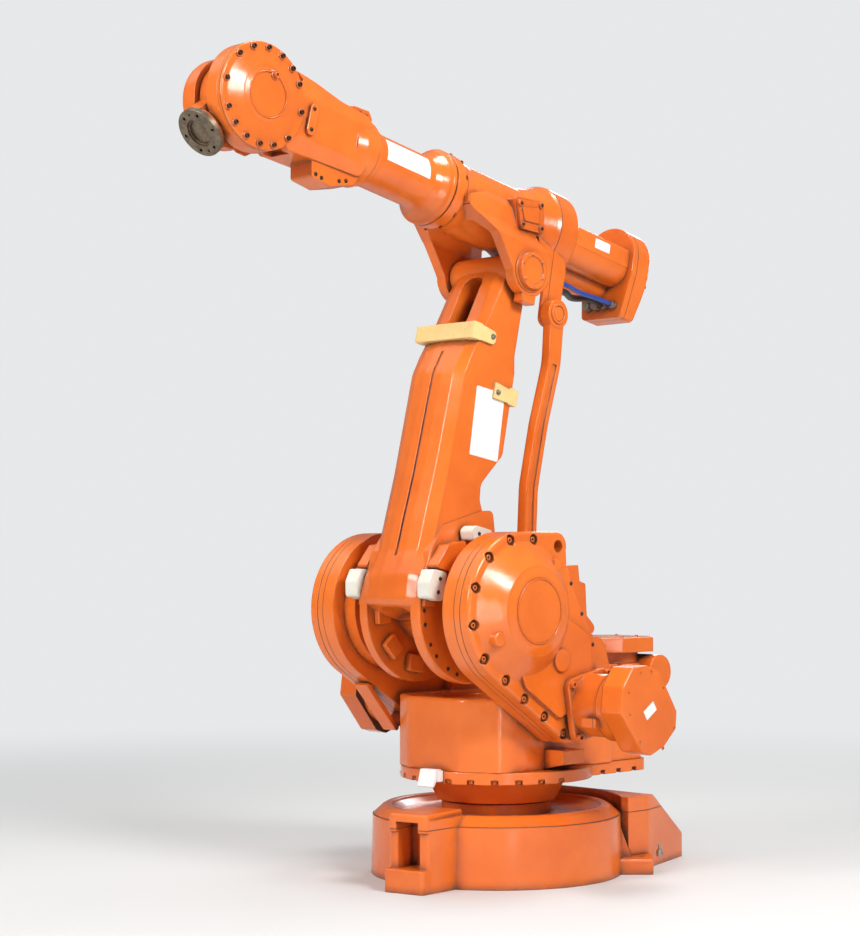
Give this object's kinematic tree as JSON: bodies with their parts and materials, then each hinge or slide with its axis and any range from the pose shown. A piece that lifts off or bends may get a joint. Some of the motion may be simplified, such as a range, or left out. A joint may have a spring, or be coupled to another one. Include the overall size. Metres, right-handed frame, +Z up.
{
  "type": "industrial robot arm",
  "caption": "Floor-standing jointed robot arm with a round three-footed base, turning frame, leaning lower arm, parallel rod, level upper arm and a bent wrist with a bolted tool flange.",
  "frame": {"origin": "on the vertical turning axis (axis 1), at the floor under the base", "axes": "+X forward, the way the arm reaches; +Y to the robot's left; +Z up"},
  "size_m": [2.1224, 1.32, 2.6486],
  "materials": {
    "orange_paint": "gloss",
    "amber_bumper": "satin",
    "white_damper": "satin",
    "white_plate": "satin",
    "black_hose": "satin",
    "blue_hose": "satin",
    "bare_steel": "satin",
    "grey_panel": "satin"
  },
  "bodies": {
    "base": {"base_casting": "orange_paint", "base_rear_box": "orange_paint", "base_connector_panel": "grey_panel", "base_ground_stud": "bare_steel"},
    "turret": {"turret_flange": "orange_paint", "turret_frame": "orange_paint", "turret_stop_block": "orange_paint", "turret_scale_plate": "white_plate", "turret_cable_bracket": "orange_paint", "axis_1_motor": "orange_paint", "axis_1_motor_cover": "orange_paint", "left_gear_housing": "orange_paint", "right_gear_housing": "orange_paint", "left_gear_cover": "orange_paint", "right_gear_cover": "orange_paint", "left_motor": "orange_paint", "right_motor": "orange_paint", "left_motor_cover": "orange_paint", "right_motor_cover": "orange_paint", "right_output_drum": "orange_paint"},
    "lower_arm": {"lower_arm_casting": "orange_paint", "front_bumper_strap": "amber_bumper", "rear_bumper_strap": "amber_bumper", "left_dampers": "white_damper", "right_dampers": "white_damper", "left_damper_ring": "orange_paint", "right_damper_ring": "orange_paint", "arm_hoses": "black_hose"},
    "crank": {"axis_3_crank": "orange_paint"},
    "rod": {"parallel_rod": "orange_paint"},
    "upper_arm": {"elbow_housing": "orange_paint", "elbow_cover_plate": "orange_paint", "elbow_stop_block": "orange_paint", "rod_pin": "orange_paint", "left_pin_cap": "orange_paint", "right_pin_cap": "orange_paint", "axis_4_motor": "orange_paint", "rear_motor_box": "orange_paint", "rear_end_housing": "orange_paint", "hose_fittings": "orange_paint", "blue_tail_hose": "blue_hose", "black_tail_hose": "black_hose"},
    "forearm": {"forearm_tube": "orange_paint", "wrist_housing": "orange_paint", "wrist_near_cover": "orange_paint", "wrist_far_cover": "orange_paint", "wrist_side_cover": "orange_paint"},
    "wrist_head": {"wrist_tilt_head": "orange_paint"},
    "tool": {"tool_flange": "bare_steel"}
  },
  "joints": [
    {"name": "axis_1", "type": "hinge", "parent": "base", "child": "turret", "pos_m": [0, 0, 0.3], "axis": [0, 0, 1], "range_deg": [-180, 180]},
    {"name": "axis_2", "type": "hinge", "parent": "turret", "child": "lower_arm", "pos_m": [0.272, 0, 0.9], "axis": [0, 1, 0], "range_deg": [-57.8, 82.2]},
    {"name": "axis_3", "type": "hinge", "parent": "lower_arm", "child": "upper_arm", "pos_m": [0.02348, 0, 2.04944], "axis": [0, -1, 0], "range_deg": [-50, 40]},
    {"name": "axis_4", "type": "hinge", "parent": "upper_arm", "child": "forearm", "pos_m": [-0.01582, 0, 2.25166], "axis": [0.9816, 0, 0.1908], "range_deg": [-300, 300]},
    {"name": "axis_5", "type": "hinge", "parent": "forearm", "child": "wrist_head", "pos_m": [1.16213, 0, 2.48063], "axis": [0, 1, 0], "range_deg": [-169, 71]},
    {"name": "axis_6", "type": "hinge", "parent": "wrist_head", "child": "tool", "pos_m": [1.31973, 0, 2.3575], "axis": [0.788, 0, -0.6157], "range_deg": [-300, 300]},
    {"name": "crank_turn", "type": "hinge", "parent": "lower_arm", "child": "crank", "pos_m": [0.272, 0, 0.9], "axis": [0, -1, 0], "range_deg": [-50, 40]},
    {"name": "rod_swing", "type": "hinge", "parent": "crank", "child": "rod", "pos_m": [0.13555, 0, 0.76345], "axis": [0, -1, 0], "range_deg": [-40, 50]}
  ],
  "couplings": [
    {"joint": "crank_turn", "follows": "axis_3", "ratio": 1},
    {"joint": "rod_swing", "follows": "axis_3", "ratio": -1}
  ]
}
